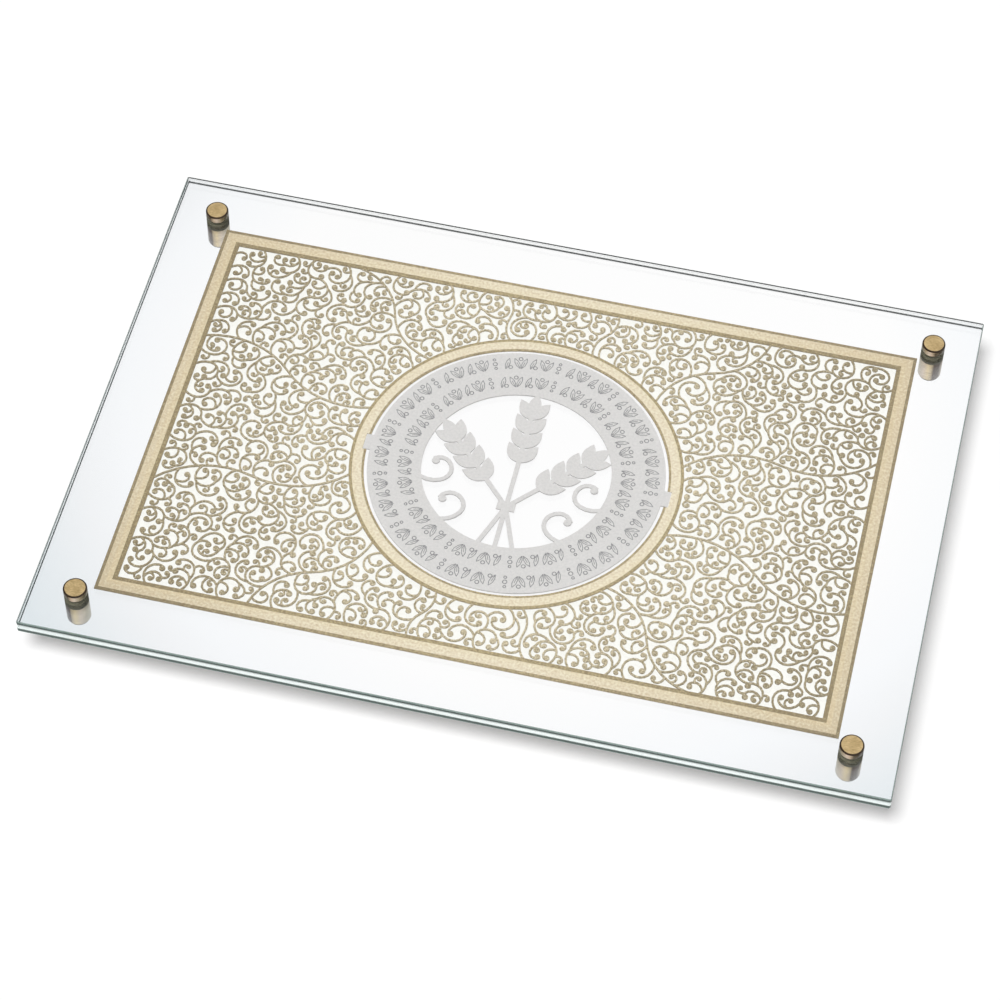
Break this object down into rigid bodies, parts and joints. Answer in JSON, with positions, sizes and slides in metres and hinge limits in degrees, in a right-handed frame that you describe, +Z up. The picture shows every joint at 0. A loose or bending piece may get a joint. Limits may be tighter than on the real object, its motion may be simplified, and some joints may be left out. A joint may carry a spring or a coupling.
{
  "type": "challah tray",
  "caption": "Clear glass bread tray on stand-off studs, with laser-cut gold scrollwork and an openwork silver medallion held between two glass plates.",
  "frame": {"origin": "on the table, under the middle of the tray", "axes": "+X along the long side, +Y along the short side away from the front, +Z up"},
  "size_m": [0.37, 0.255, 0.0237],
  "materials": {
    "clear_glass": "clear float glass with polished edges, faint green in its thickness",
    "gold_sheet": "satin champagne gold, laser-cut, darker at the cut edges",
    "silver_sheet": "satin silver with fine engraved lines",
    "antique_brass": "brushed antique brass",
    "dark_washer": "dark matt rubber",
    "foot_rubber": "matt black rubber"
  },
  "bodies": {
    "root": {"lower_glass_plate": "clear_glass", "scroll_panel": "gold_sheet", "medallion": "silver_sheet", "upper_glass_plate": "clear_glass", "foot_pad_front_left": "foot_rubber", "leg_front_left": "antique_brass", "leg_washer_front_left": "dark_washer", "sleeve_front_left": "dark_washer", "plate_spacer_front_left": "dark_washer", "cap_washer_front_left": "dark_washer", "cap_front_left": "antique_brass", "foot_pad_front_right": "foot_rubber", "leg_front_right": "antique_brass", "leg_washer_front_right": "dark_washer", "sleeve_front_right": "dark_washer", "plate_spacer_front_right": "dark_washer", "cap_washer_front_right": "dark_washer", "cap_front_right": "antique_brass", "foot_pad_back_left": "foot_rubber", "leg_back_left": "antique_brass", "leg_washer_back_left": "dark_washer", "sleeve_back_left": "dark_washer", "plate_spacer_back_left": "dark_washer", "cap_washer_back_left": "dark_washer", "cap_back_left": "antique_brass", "foot_pad_back_right": "foot_rubber", "leg_back_right": "antique_brass", "leg_washer_back_right": "dark_washer", "sleeve_back_right": "dark_washer", "plate_spacer_back_right": "dark_washer", "cap_washer_back_right": "dark_washer", "cap_back_right": "antique_brass"}
  },
  "joints": []
}
